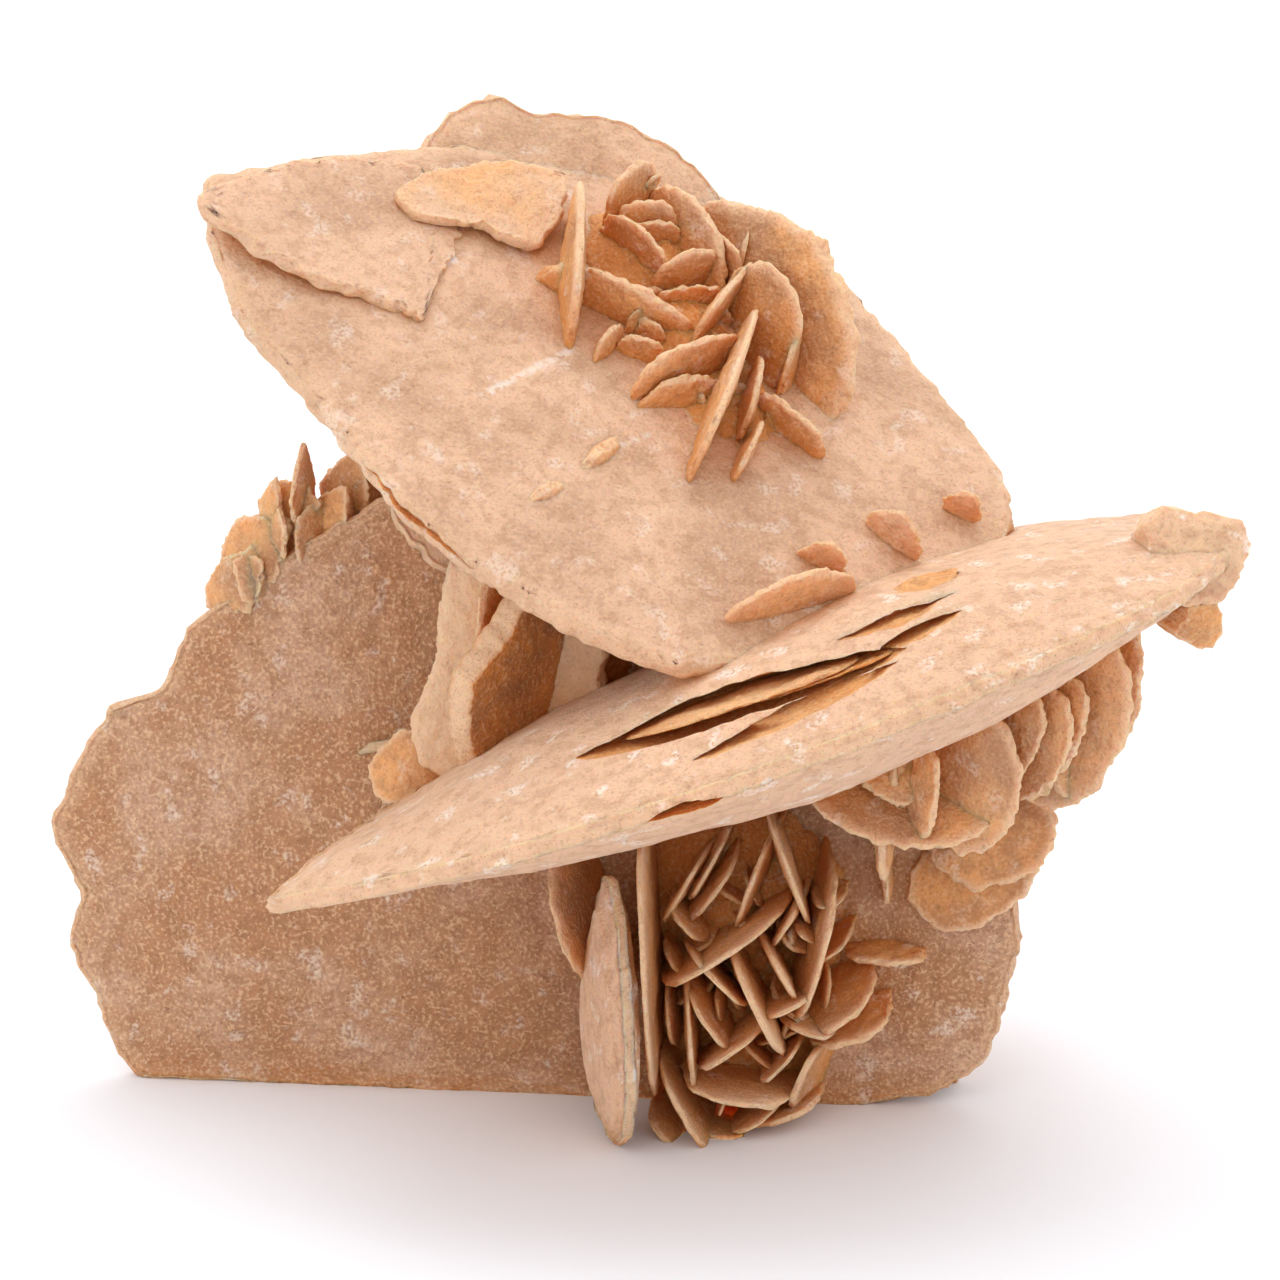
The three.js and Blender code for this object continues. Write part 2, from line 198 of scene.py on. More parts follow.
class CornerOutline:
    """A rim given by its corners, each a distance across and up the face, slightly rounded."""

    STEPS = 720
    SOFTNESS = 5

    def __init__(self, corners: list[Corner]) -> None:
        """Works out the rim's distance in each direction.

        Args:
            corners: The corners round the middle, in any order.
        """
        turns = sorted((math.atan2(y, x), Vector((x, y))) for x, y in corners)
        points = [point for _, point in turns]
        angles = [angle for angle, _ in turns]
        sharp = [self._crossing(points, angles, self._angle(step)) for step in range(self.STEPS)]
        near = range(-self.SOFTNESS, self.SOFTNESS + 1)
        weights = [math.exp(-((2.0 * k / self.SOFTNESS) ** 2)) for k in near]
        self._radii = [
            sum(weight * sharp[(step + k) % self.STEPS] for weight, k in zip(weights, near))
            / sum(weights)
            for step in range(self.STEPS)
        ]

    def _angle(self, step: int) -> float:
        """Direction of a step of the table, in radians."""
        return 2 * math.pi * step / self.STEPS - math.pi

    @staticmethod
    def _crossing(points: list[Vector], angles: list[float], turn: float) -> float:
        """Gives the distance at which a ray from the middle crosses the straight-sided rim.

        Args:
            points: The corners in the order of their angles.
            angles: The corners' angles, rising.
            turn: The ray's direction in radians.

        Returns:
            The distance in millimetres.
        """
        after = next((i for i, angle in enumerate(angles) if angle > turn), 0)
        start, end = points[after - 1], points[after]
        side = end - start
        ray = Vector((math.cos(turn), math.sin(turn)))
        return start.cross(side) / ray.cross(side)

    def radius(self, turn: float) -> float:
        """Distance to the rim in a direction given in radians, in millimetres."""
        place = (turn + math.pi) * self.STEPS / (2 * math.pi)
        low = math.floor(place)
        share = place - low
        before, after = self._radii[low % self.STEPS], self._radii[(low + 1) % self.STEPS]
        return before * (1 - share) + after * share


@dataclass(frozen=True)
class CrestOutline:
    """A crystal's rim: an arch above the face it grows on, and a short root below it.

    Attributes:
        half_length: Half of its length along the face.
        above: Height of the arch.
        below: Depth of the root.
        fullness: 2 for an ellipse, more for a squarer arch.
    """

    half_length: float
    above: float
    below: float
    fullness: float = 2.0

    def radius(self, turn: float) -> float:
        """Distance to the rim in a direction given in radians, in millimetres."""
        height = self.above if turn > 0 else self.below
        along = (abs(math.cos(turn)) / self.half_length) ** self.fullness
        upward = (abs(math.sin(turn)) / height) ** self.fullness
        return (along + upward) ** (-1 / self.fullness)


Outline = CornerOutline | CrestOutline


@dataclass
class Shell:
    """One closed crystal or blade.

    Attributes:
        place: The frame that it lies in, with its rim round the origin of the XY plane.
        outline: Its rim.
        section: Its section.
        thickness: Its thickness in the middle.
        relief: How uneven it is.
        fineness: How many times the sphere that it starts from is divided.
        tone: Its own shade, from 0 to 1.
        crest: Height over its root at which it is as pale as its rim, with the painted orange shade of
            its foot faded out, or 0 for a large blade.
    """

    CROWDING = 1.5
    RIM_POWER = 8
    RIM_START = 0.99
    THINNEST_HALF = 0.12
    CALM_SLOPE = 6
    SEED_STRETCH = 3.7
    SIDE_SEED = 0.9

    place: Matrix
    outline: Outline
    section: Section
    thickness: float
    relief: Relief
    fineness: int
    tone: float
    crest: float = 0.0

    def add_to(self, mesh: bmesh.types.BMesh) -> None:
        """Adds the shell to a mesh, with how far out, how pale and how deep each point lies.

        Args:
            mesh: The mesh, whose point layers reach, tone and depth are there or are made.
        """
        reach_layer, tone_layer, depth_layer = point_layers(mesh)
        made = bmesh.ops.create_icosphere(mesh, subdivisions=self.fineness, radius=1.0)
        for vert in made["verts"]:
            turn = math.atan2(vert.co.y, vert.co.x)
            side = math.copysign(1.0, vert.co.z)
            reach = math.sqrt(max(0.0, 1 - abs(vert.co.z) ** self.CROWDING))
            local = self._surface(turn, side, reach)
            vert[reach_layer] = reach
            vert[tone_layer] = self.tone
            # The depth layer sets how much painted orange shade a point gets towards its root.
            vert[depth_layer] = 1 - smooth_step(local.y / self.crest) if self.crest else 0.0
            vert.co = (self.place @ local) * MM
        for face in {face for vert in made["verts"] for face in vert.link_faces}:
            face.smooth = True

    def _surface(self, turn: float, side: float, reach: float) -> Vector:
        """Gives a point of the surface.

        Args:
            turn: Direction from the middle, in radians.
            side: 1 on the face that looks out, -1 on the other.
            reach: Share of the way from the middle out to the rim.

        Returns:
            The point in the shell's own frame, in millimetres.
        """
        ray = Vector((math.cos(turn), math.sin(turn), 0.0))
        rim = ray * self.outline.radius(turn)
        own = self.place.translation * self.SEED_STRETCH + Vector((0.0, 0.0, side * self.SIDE_SEED))
        shift = self.relief.rim_shift(rim + own) * reach**self.RIM_POWER
        local = rim * reach + ray * shift
        height = self.section.value.half(reach) * self.thickness / 2
        if self.relief.layer and reach < self.RIM_START:
            height = max(self.THINNEST_HALF, height - self.relief.layer_drop(reach, rim + own * 2))
        height += self.relief.rise(local + own) * min(1.0, self.CALM_SLOPE * (1 - reach))
        local.z = side * height
        return local


def point_layers(mesh: bmesh.types.BMesh) -> list[bmesh.types.BMLayerItem]:
    """Gives the layers that tell how far out, how pale and how deep each point lies.

    Args:
        mesh: The mesh, to which missing layers are added.

    Returns:
        The reach, tone and depth layers.
    """
    layers = mesh.verts.layers.float
    for name in ("reach", "tone", "depth"):
        if name not in layers:
            layers.new(name)
    return [layers[name] for name in ("reach", "tone", "depth")]


def rest_on_ground(mesh: bmesh.types.BMesh) -> None:
    """Cuts away what lies below the ground and closes the cuts.

    Args:
        mesh: The mesh, in metres.
    """
    everything = [*mesh.verts, *mesh.edges, *mesh.faces]
    bmesh.ops.bisect_plane(
        mesh, geom=everything, plane_co=(0, 0, 0), plane_no=(0, 0, -1), clear_outer=True
    )
    rim = [edge for edge in mesh.edges if edge.is_boundary]
    bmesh.ops.edgeloop_fill(mesh, edges=rim)


class Tints:
    """Linear colours of the gypsum and of the sand in it."""

    PEACH = (0.72, 0.45, 0.30, 1.0)
    SKIN = (0.74, 0.46, 0.30, 1.0)
    TAN = (0.44, 0.20, 0.088, 1.0)
    MAUVE = (0.54, 0.32, 0.205, 1.0)
    RUST = (0.34, 0.145, 0.06, 1.0)
    AMBER = (0.78, 0.37, 0.13, 1.0)
    # ORANGE also paints the shade in recesses, at crystal feet and on the shaded blade.
    ORANGE = (0.66, 0.25, 0.055, 1.0)
    FLESH = (0.74, 0.34, 0.11, 1.0)
    CREAM = (0.80, 0.54, 0.34, 1.0)
    CHALK = (0.88, 0.80, 0.72, 1.0)
    DARK_GRAIN = (0.20, 0.085, 0.035, 1.0)


Socket = bpy.types.NodeSocket
Value = Socket | float | Vector | tuple[float, ...]


class Bench:
    """Adds shader nodes to a material one after another."""

    def __init__(self, material: bpy.types.Material) -> None:
        """Clears the material's nodes.

        Args:
            material: The material to work on.
        """
        material.use_nodes = True
        self.tree = material.node_tree
        self.tree.nodes.clear()

    def add(self, kind: str, inputs: dict[str | int, Value], **settings: object) -> bpy.types.Node:
        """Adds a node.

        Args:
            kind: The node's type.
            inputs: What each input is linked to or set to.
            **settings: The node's own settings.

        Returns:
            The node.
        """
        node = self.tree.nodes.new(kind)
        for name, setting in settings.items():
            setattr(node, name, setting)
        for key, value in inputs.items():
            if isinstance(value, Socket):
                self.tree.links.new(value, node.inputs[key])
            else:
                node.inputs[key].default_value = value
        return node

    def noise(self, place: Value, per_mm: float, detail: float = 2.0) -> Socket:
        """Noise from 0 to 1 with so many lumps to a millimetre."""
        inputs = {"Vector": place, "Scale": per_mm, "Detail": detail}
        return self.add("ShaderNodeTexNoise", inputs).outputs[0]

    def between(self, value: Value, first: float, second: float, top: float = 1.0) -> Socket:
        """Gives 0 before the first bound, easing to a top share past the second one."""
        inputs = {"Value": value, "From Min": first, "From Max": second, "To Max": top}
        return self.add("ShaderNodeMapRange", inputs, interpolation_type="SMOOTHSTEP").outputs[0]

    def mix(self, share: Value, first: Value, second: Value) -> Socket:
        """Mixes two colours."""
        return self.add("ShaderNodeMix", {0: share, 6: first, 7: second}, data_type="RGBA").outputs[2]

    def sum(self, operation: str, *values: Value) -> Socket:
        """Works out one sum of numbers."""
        return self.add("ShaderNodeMath", dict(enumerate(values)), operation=operation).outputs[0]

    def vector(self, operation: str, *values: Value) -> bpy.types.Node:
        """Works out one sum of vectors."""
        return self.add("ShaderNodeVectorMath", dict(enumerate(values)), operation=operation)

    def attribute(self, name: str) -> Socket:
        """A number that the mesh holds for each point."""
        return self.add("ShaderNodeAttribute", {}, attribute_name=name).outputs["Fac"]


@dataclass(frozen=True)
class SandFinish:
    """Matt gypsum full of fine sand, paler at its thin rims and orange where it is deep: the pale rims
    are partly wear and partly a painted glow of light through them, the orange is painted shade.

    Attributes:
        name: The material's name.
        ground: The main colour.
        second: The colour of its broad patches.
        rim_share: How far the rims turn cream, partly as wear and partly as a painted glow of light
            through the thin rims.
        rim_from: Reach at which the rims begin to turn.
        worn: How much of it is worn white, from 0 to 1.
        sandy: How strongly its sand and its mottles show, from 0 to 1.
        deep: How far painted orange shade darkens it where it is deep, in recesses and at the feet of
            crystals, from 0 to 1.
        scratches: Ends of fine pale scratches, across and up the top slab.
    """

    name: str
    ground: tuple[float, ...] = Tints.TAN
    second: tuple[float, ...] = Tints.MAUVE
    rim_share: float = 0.5
    rim_from: float = 0.9
    worn: float = 0.3
    sandy: float = 0.6
    deep: float = 0.85
    scratches: tuple[tuple[Corner, Corner], ...] = ()

    RECESS_WIDTH = 5.0
    GLOW_DEPTH = 1.2
    GRAIN_HEIGHT = 0.24
    SCRATCH_REACH = (0.1, 0.6)
    SCRATCH_TAPER = 1.5

    def material(self) -> bpy.types.Material:
        """Makes the material, once.

        Returns:
            The material.
        """
        made = bpy.data.materials.get(self.name)
        if made:
            return made
        made = bpy.data.materials.new(self.name)
        bench = Bench(made)
        place = self._place(bench)
        colour, grain = self._colour(bench, place)
        shader = bench.add(
            "ShaderNodeBsdfPrincipled",
            {
                "Base Color": colour,
                "Roughness": bench.sum("ADD", 0.45, bench.between(grain, 0.3, 0.6, 0.4)),
                "IOR": 1.52,
                "Specular IOR Level": 0.35,
                "Subsurface Weight": 0.5,
                "Subsurface Radius": (1.0, 0.4, 0.15),
                "Subsurface Scale": self.GLOW_DEPTH * MM,
                "Normal": self._bump(bench, place, grain),
            },
            subsurface_method="RANDOM_WALK",
        )
        bench.add("ShaderNodeOutputMaterial", {"Surface": shader.outputs[0]})
        return made

    def _place(self, bench: Bench) -> Socket:
        """Object coordinates in millimetres."""
        coordinates = bench.add("ShaderNodeTexCoord", {}).outputs["Object"]
        scale = (1 / MM, 1 / MM, 1 / MM)
        return bench.add("ShaderNodeMapping", {"Vector": coordinates, "Scale": scale}).outputs[0]

    def _colour(self, bench: Bench, place: Socket) -> tuple[Socket, Socket]:
        """Lays the colours over each other.

        Args:
            bench: The nodes.
            place: The place in millimetres.

        Returns:
            The colour, and the fine grain that the bump and the roughness share.
        """
        patches = bench.noise(place, 0.11, 4.0)
        mottles = bench.noise(place, 0.75, 5.0)
        grain = bench.noise(place, 3.3, 3.0)
        flecks = bench.noise(place, 5.0, 1.5)
        wear = bench.noise(place, 0.42, 6.0)
        # Ambient occlusion finds the recesses within RECESS_WIDTH, which are painted orange as shade.
        around = {"Distance": self.RECESS_WIDTH * MM}
        open_share = bench.add("ShaderNodeAmbientOcclusion", around, samples=6).outputs["AO"]

        shade = bench.sum("SUBTRACT", 1.0, open_share)
        white = bench.sum("MULTIPLY", bench.between(wear, 0.57, 0.68), bench.between(grain, 0.36, 0.56))
        colour = bench.mix(bench.between(patches, 0.4, 0.66), self.ground, self.second)
        coats = [
            (bench.between(mottles, 0.56, 0.36, 0.75 * self.sandy), Tints.RUST),
            (bench.sum("MULTIPLY", bench.attribute("tone"), 0.35), Tints.CREAM),
            # Cream rims: partly wear, partly a painted glow of light shining through the thin gypsum.
            (bench.between(bench.attribute("reach"), self.rim_from, 1.0, self.rim_share), Tints.CREAM),
            # Painted shade: orange towards the crystals' feet and over the mounds.
            (bench.sum("MULTIPLY", bench.attribute("depth"), self.deep), Tints.ORANGE),
            # Painted shade: orange in the recesses that the ambient occlusion finds.
            (bench.between(shade, 0.3, 0.95, self.deep), Tints.ORANGE),
            (bench.between(grain, 0.49, 0.66, 0.75 * self.sandy), Tints.CREAM),
            (bench.between(grain, 0.45, 0.32, 0.6 * self.sandy), Tints.RUST),
            (bench.between(flecks, 0.62, 0.72, 0.8 * self.sandy), Tints.DARK_GRAIN),
            (bench.sum("MULTIPLY", white, self.worn), Tints.CHALK),
        ]
        coats += [(self._scratch(bench, place, *ends), Tints.CHALK) for ends in self.scratches]
        for share, tint in coats:
            colour = bench.mix(share, colour, tint)
        return colour, grain

    def _bump(self, bench: Bench, place: Socket, grain: Socket) -> Socket:
        """Raises the grain and the small lumps that it lies on.

        Args:
            bench: The nodes.
            place: The place in millimetres.
            grain: The fine grain.

        Returns:
            The raised normal.
        """
        lumps = bench.noise(place, 1.1, 3.0)
        height = bench.sum("ADD", bench.sum("MULTIPLY", lumps, 0.9), grain)
        inputs = {"Height": height, "Strength": 0.85, "Distance": self.GRAIN_HEIGHT * MM}
        return bench.add("ShaderNodeBump", inputs).outputs[0]

    def _scratch(self, bench: Bench, place: Socket, start: Corner, end: Corner) -> Socket:
        """Marks a fine straight scratch.

        Args:
            bench: The nodes.
            place: The place in millimetres.
            start: One end of the scratch.
            end: The other end.

        Returns:
            How much of the scratch shows at each place.
        """
        slab = face_frame(SLAB_HUB, SLAB_FACES)
        first, last = (slab @ Vector((*tip, SLAB_TOP)) for tip in (start, end))
        course = (last - first).normalized()
        length = (last - first).length
        offset = bench.vector("SUBTRACT", place, first).outputs[0]
        along = bench.vector("DOT_PRODUCT", offset, course).outputs[1]
        total = bench.vector("LENGTH", offset).outputs[1]
        squares = [bench.sum("POWER", distance, 2.0) for distance in (total, along)]
        away = bench.sum("SQRT", bench.sum("MAXIMUM", bench.sum("SUBTRACT", *squares), 0.0))
        line = bench.sum("SUBTRACT", 1.0, bench.between(away, *self.SCRATCH_REACH))
        begun = bench.between(along, 0.0, self.SCRATCH_TAPER)
        ended = bench.between(along, length - self.SCRATCH_TAPER, length)
        inside = bench.sum("MULTIPLY", begun, bench.sum("SUBTRACT", 1.0, ended))
        broken = bench.between(bench.noise(place, 1.3), 0.35, 0.55, 0.55)
        return bench.sum("MULTIPLY", bench.sum("MULTIPLY", line, inside), broken)


SLAB_FINISH = SandFinish(
    "slab_gypsum", Tints.PEACH, Tints.MAUVE, rim_share=0.5, rim_from=0.93, worn=0.3, sandy=0.42,
    scratches=(
        ((-24, 10.4), (-20.3, 11.7)),
        ((-11.2, 1.8), (-0.1, 5.9)),
        ((-12.3, 15.4), (-4.6, 17.1)),
        ((-2.2, -5.1), (2.8, -4)),
    ),
)
PLATE_FINISH = SandFinish("plate_gypsum", Tints.TAN, Tints.MAUVE, 0.45, 0.95, 0.35, 0.75)
FRONT_FINISH = SandFinish("front_blade_gypsum", Tints.SKIN, Tints.PEACH, 0.35, 0.9, 0.6, 0.42)
CRYSTAL_FINISH = SandFinish("crystal_gypsum", Tints.AMBER, Tints.TAN, 0.85, 0.82, 0.25, 0.45)
# Painted shade: darker orange and rust for the blade that lies in shade under the slab.
SHADED_FINISH = SandFinish("shaded_gypsum", Tints.ORANGE, Tints.RUST, 0.95, 0.972, 0.0, 0.5)
PALE_FINISH = SandFinish("pale_gypsum", Tints.CREAM, Tints.CREAM, 0.2, 0.9, 0.1, 0.25)
EDGE_FINISH = SandFinish("edge_crystal_gypsum", Tints.PEACH, Tints.AMBER, 0.7, 0.8, 0.2, 0.45, 0.35)
WORN_FINISH = SandFinish("worn_gypsum", Tints.SKIN, Tints.CREAM, 0.3, 0.9, 1.0, 0.35, 0.5)
# Painted light: its bright orange stands in for light that shines into the cracks through the gypsum.
CRACK_FINISH = SandFinish("crack_gypsum", Tints.FLESH, Tints.ORANGE, 0.0, 0.9, 0.0, 0.5)


def as_object(name: str, mesh: bmesh.types.BMesh, *materials: bpy.types.Material) -> bpy.types.Object:
    """Makes an object of a mesh.

    Args:
        name: The object's name.
        mesh: Its mesh, in metres, which is freed.
        *materials: Its materials, in the order of their slots.

    Returns:
        The object.
    """
    data = bpy.data.meshes.new(name)
    mesh.to_mesh(data)
    mesh.free()
    for material in materials:
        data.materials.append(material)
    made = bpy.data.objects.new(name, data)
    bpy.context.scene.collection.objects.link(made)
    return made


class Growth:
    """One piece of the rose, made of closed shells."""

    name: str
    finish: SandFinish

    def shells(self) -> list[Shell]:
        """The shells that it is made of."""
        raise NotImplementedError

    def build(self) -> bpy.types.Object:
        """Builds the piece, dresses it and hangs it on the CAD part.

        Returns:
            The piece.
        """
        mesh = bmesh.new()
        for shell in self.shells():
            shell.add_to(mesh)
        rest_on_ground(mesh)
        piece = as_object(self.name, mesh, self.finish.material())
        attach(piece, BODY)
        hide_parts(NODE)
        LOG.info("%s: %d faces", piece.name, len(piece.data.polygons))
        return piece


@dataclass
class Blade(Growth):
    """A large blade.

    Attributes:
        name: The piece's name.
        hub: The point that its rim lies round.
        faces: Bearing and upward tilt of its face, in degrees.
        thickness: Its thickness in the middle.
        section: Its section.
        rim: The corners of its rim, across and up the face from the hub.
        finish: Its finish.
        relief: How uneven it is.
        fineness: How finely it is divided.
        tone: Its own shade, from 0 to 1.
    """

    name: str
    hub: Point
    faces: tuple[float, float]
    thickness: float
    section: Section
    rim: list[Corner]
    finish: SandFinish = PLATE_FINISH
    relief: Relief = BLADE_RELIEF
    fineness: int = 6
    tone: float = 0.2

    def shells(self) -> list[Shell]:
        """The blade's one shell.

        Returns:
            A list that holds it.
        """
        place = face_frame(self.hub, self.faces)
        outline = CornerOutline(self.rim)
        thickness, relief = self.thickness, self.relief
        return [Shell(place, outline, self.section, thickness, relief, self.fineness, self.tone)]


@dataclass
class Rosette(Growth):
    """Small crystals that grow out of one face.

    Attributes:
        name: The piece's name.
        at: A point of the face.
        faces: Bearing and upward tilt of the face, in degrees.
        crystals: A row for each: where its crest stands across and up the face, heading of its
            foot, lean, length, rise and thickness.
        fullness: The least and greatest fullness of their arches.
        mounds: A row for each rough mound that their feet stand in: its middle across and up the
            face, radius and height.
        fill: How many small crystals stand between them on each mound, and how far they rise.
        finish: Their finish.
        fineness: How finely each is divided.
    """

    name: str
    at: Point
    faces: tuple[float, float]
    crystals: list[Row]
    fullness: tuple[float, float] = (1.7, 2.4)
    mounds: list[Row] = field(default_factory=list)
    fill: tuple[int, float] = (0, 0.0)
    finish: SandFinish = CRYSTAL_FINISH
    fineness: int = 5

    SMALL_RISE = (0.6, 1.0)
    SMALL_HEADING = (-90, 90)
    SMALL_LEAN = (-12, 12)
    SMALL_LENGTH = (2.5, 5)
    SMALL_THICKNESS = 1.3

    def shells(self) -> list[Shell]:
        """The crystals, each mound, and the small crystals on it.

        Returns:
            Their shells.
        """
        shades = random.Random(self.name)
        made = [self._crystal(row, shades, self.fineness) for row in self.crystals]
        for mound in self.mounds:
            made.append(self._mound(mound))
            for _ in range(self.fill[0]):
                small = self._small_row(mound, shades)
                made.append(self._crystal(small, shades, self.fineness - 1))
        return made

    def _mound(self, row: Row) -> Shell:
        """Gives the rough mound of sandy gypsum between the crystals' feet.

        Args:
            row: Its row of the table.

        Returns:
            Its shell.
        """
        across, up, radius, height = row
        place = face_frame(self.at, self.faces) @ Matrix.Translation((across, up, 0.0))
        outline = CrestOutline(radius, radius, radius)
        section = Section.THICK_LENS
        return Shell(place, outline, section, 2 * height, MOUND_RELIEF, self.fineness, 0.0, BURIED)

    def _small_row(self, mound: Row, chance: random.Random) -> Row:
        """Gives a row for a small crystal somewhere on a mound.

        Args:
            mound: The mound's row.
            chance: Where the crystal's numbers come from.

        Returns:
            The row.
        """
        across, up, radius, _ = mound
        turn = chance.uniform(0, 2 * math.pi)
        away = radius * math.sqrt(chance.random())
        rise = self.fill[1] * chance.uniform(*self.SMALL_RISE)
        heading = chance.uniform(*self.SMALL_HEADING)
        lean = chance.uniform(*self.SMALL_LEAN)
        length = chance.uniform(*self.SMALL_LENGTH)
        spot = (across + away * math.cos(turn), up + away * math.sin(turn))
        return (*spot, heading, lean, length, rise, self.SMALL_THICKNESS)

    def _crystal(self, row: Row, shades: random.Random, fineness: int) -> Shell:
        """Gives one crystal.

        Args:
            row: Its row of the table.
            shades: Where its shade and fullness come from.
            fineness: How finely it is divided.

        Returns:
            Its shell.
        """
        across, up, heading, lean, length, rise, thickness = row
        course, slope = math.radians(heading), math.radians(lean)
        along = Vector((math.cos(course), math.sin(course), 0.0))
        side = Vector((-math.sin(course), math.cos(course), 0.0))
        growth = Vector((0.0, 0.0, math.cos(slope))) + side * math.sin(slope)
        foot = Vector((across, up, 0.0)) - side * rise * math.tan(slope)
        turned = Matrix((along, growth, along.cross(growth))).transposed().to_4x4()
        place = face_frame(self.at, self.faces) @ Matrix.Translation(foot) @ turned
        height = rise / math.cos(slope)
        outline = CrestOutline(length / 2, height, ROOT_DEPTH, shades.uniform(*self.fullness))
        section = Section.CRYSTAL
        tone = shades.random()
        slender = thickness * SLENDER
        return Shell(place, outline, section, slender, CRYSTAL_RELIEF, fineness, tone, height)


@dataclass
class Leaves(Growth):
    """Leaf crystals that stand free of a face.

    Attributes:
        name: The piece's name.
        rows: A row for each: its centre, bearing and tilt of its face, turn of its long axis on
            the face, length, width and thickness.
        finish: Their finish.
        relief: How uneven they are.
        fineness: How finely each is divided.
        fullness: The least and greatest fullness of their outlines.
    """

    name: str
    rows: list[Row]
    finish: SandFinish = CRYSTAL_FINISH
    relief: Relief = CRYSTAL_RELIEF
    fineness: int = 5
    fullness: tuple[float, float] = (1.8, 2.4)

    def shells(self) -> list[Shell]:
        """The leaves' shells."""
        shades = random.Random(self.name)
        return [self._leaf(row, shades) for row in self.rows]

    def _leaf(self, row: Row, shades: random.Random) -> Shell:
        """Gives one leaf.

        Args:
            row: Its row of the table.
            shades: Where its shade and fullness come from.

        Returns:
            Its shell.
        """
        x, y, z, bearing, tilt, turn, length, width, thickness = row
        place = face_frame((x, y, z), (bearing, tilt)) @ Matrix.Rotation(math.radians(turn), 4, "Z")
        outline = CrestOutline(length / 2, width / 2, width / 2, shades.uniform(*self.fullness))
        section = Section.CRYSTAL
        return Shell(place, outline, section, thickness, self.relief, self.fineness, shades.random())


@dataclass
class CrackedBlade(Blade):
    """A large blade with cracks that have opened between its layers.

    Attributes:
        inward: The way in which its cracks lead.
        cracks: For each crack its two ends on the surface, how far it gapes and how deep it is.
    """

    inward: Point = (0.0, 1.0, 0.0)
    cracks: list[tuple[Point, Point, float, float]] = field(default_factory=list)

    def build(self) -> bpy.types.Object:
        """Builds the blade, cuts its cracks and dresses it.

        Returns:
            The piece.
        """
        piece = super().build()
        piece.data.materials.append(CRACK_FINISH.material())
        cutter = self._cutter()
        cut = piece.modifiers.new("cracks", "BOOLEAN")
        cut.operation = "DIFFERENCE"
        cut.solver = "EXACT"
        cut.object = cutter
        cut.use_self = True
        bpy.context.view_layer.update()
        seen = piece.evaluated_get(bpy.context.evaluated_depsgraph_get())
        solid = bpy.data.meshes.new_from_object(seen)
        piece.modifiers.clear()
        piece.data = solid
        solid.name = self.name
        bpy.data.objects.remove(cutter)
        LOG.info("%s: %d faces with its cracks", self.name, len(solid.polygons))
        return piece

    def _cutter(self) -> bpy.types.Object:
        """Makes the rough lenses that are cut out.

        Returns:
            An object that isn't part of the rose.
        """
        mesh = bmesh.new()
        for start, end, gape, depth in self.cracks:
            place = self._crack_frame(Vector(start), Vector(end))
            outline = CrestOutline((Vector(end) - Vector(start)).length / 2, LIP_HEIGHT, depth)
            Shell(place, outline, Section.SLIVER, gape, CRACK_RELIEF, 5, 0.0).add_to(mesh)
        for face in mesh.faces:
            face.material_index = 1
        return as_object("cutter", mesh, self.finish.material(), CRACK_FINISH.material())

    def _crack_frame(self, start: Vector, end: Vector) -> Matrix:
        """Gives the frame of a crack.

        Args:
            start: Its one end.
            end: Its other end.

        Returns:
            A matrix whose X runs along it and whose Y runs out of the blade.
        """
        along = (end - start).normalized()
        gaping = along.cross(-Vector(self.inward)).normalized()
        turned = Matrix((along, gaping.cross(along), gaping)).transposed().to_4x4()
        return Matrix.Translation((start + end) / 2 - FOOTPRINT_MIDDLE) @ turned


